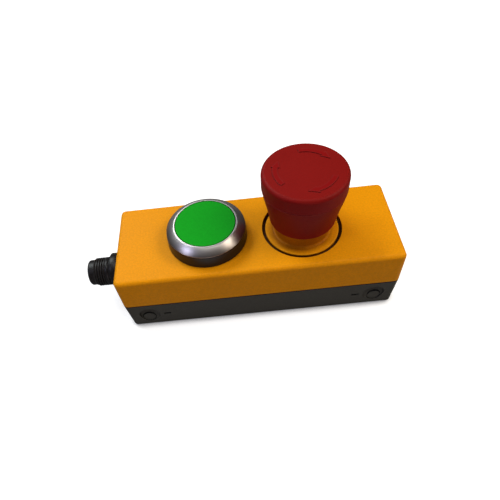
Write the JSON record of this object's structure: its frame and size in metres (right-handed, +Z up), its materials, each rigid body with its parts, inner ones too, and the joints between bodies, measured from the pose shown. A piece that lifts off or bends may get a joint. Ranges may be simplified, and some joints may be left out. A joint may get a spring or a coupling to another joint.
{
  "type": "emergency stop switch",
  "caption": "Flat oblong control housing with a red twist-to-release emergency stop mushroom head, a green push button in a metal bezel and a round threaded connector on one end.",
  "frame": {"origin": "centre of the housing's flat underside", "axes": "+X along the housing from the connector end to the mushroom head end, +Y across to the far long side, +Z up through the operators"},
  "size_m": [0.1259, 0.04, 0.0593],
  "materials": {
    "yellow_plastic": "fine moulded grain",
    "charcoal_plastic": "fine moulded grain",
    "black_plastic": "satin",
    "black_rubber": "matt",
    "red_plastic": "satin",
    "green_plastic": "matt",
    "satin_metal": "satin",
    "zinc_steel": "bright",
    "brass": "bright",
    "plated_contact": "gold plated",
    "circuit_board": "solder mask",
    "lead_insulation": "insulation",
    "ivory_plastic": "natural"
  },
  "bodies": {
    "housing": {"base": "charcoal_plastic", "cover": "yellow_plastic", "cover_gasket": "black_rubber", "threaded_inserts": "brass", "cover_screws": "zinc_steel", "screw_plugs": "charcoal_plastic", "circuit_board": "circuit_board", "board_screws": "zinc_steel", "lead_header": "ivory_plastic", "connector_body": "black_plastic", "connector_insert": "black_plastic", "connector_pins": "plated_contact", "connector_oring": "black_rubber", "connector_locknut": "black_plastic", "connector_leads": "lead_insulation", "button_collar": "black_plastic", "button_gasket": "black_rubber", "button_bezel": "satin_metal", "button_nut": "black_plastic", "button_return_spring": "zinc_steel", "button_contact_housing": "black_plastic", "button_fixed_contacts": "brass", "button_contact_spring": "zinc_steel", "estop_collar": "yellow_plastic", "estop_gasket": "black_rubber", "estop_nut": "black_plastic", "estop_return_spring": "zinc_steel", "estop_contact_housing": "black_plastic", "estop_fixed_contacts": "brass", "estop_contact_springs": "zinc_steel"},
    "button": {"button_cap": "green_plastic", "button_plunger": "ivory_plastic", "button_retaining_clip": "zinc_steel", "button_contact_carrier": "ivory_plastic", "button_contact_bridge": "brass"},
    "estop_slider": {"estop_stem": "ivory_plastic", "estop_pusher": "ivory_plastic", "estop_contact_carriers": "ivory_plastic", "estop_contact_bridges": "brass"},
    "estop_knob": {"estop_head": "red_plastic", "estop_release_sleeve": "ivory_plastic"}
  },
  "joints": [
    {"name": "button_push", "type": "slide", "parent": "housing", "child": "button", "axis": [0, 0, -1], "range_m": [0, 0.0025], "stiffness_N_per_m": 1200, "springref_m": -0.0015, "deforming": ["button_return_spring", "button_contact_spring"]},
    {"name": "estop_push", "type": "slide", "parent": "housing", "child": "estop_slider", "axis": [0, 0, -1], "range_m": [0, 0.004], "deforming": ["estop_return_spring", "estop_contact_springs"]},
    {"name": "estop_twist", "type": "hinge", "parent": "estop_slider", "child": "estop_knob", "pos_m": [0.01885, 0, 0.0542], "axis": [0, 0, -1], "range_deg": [0, 30], "stiffness_Nm_per_rad": 0.05}
  ]
}
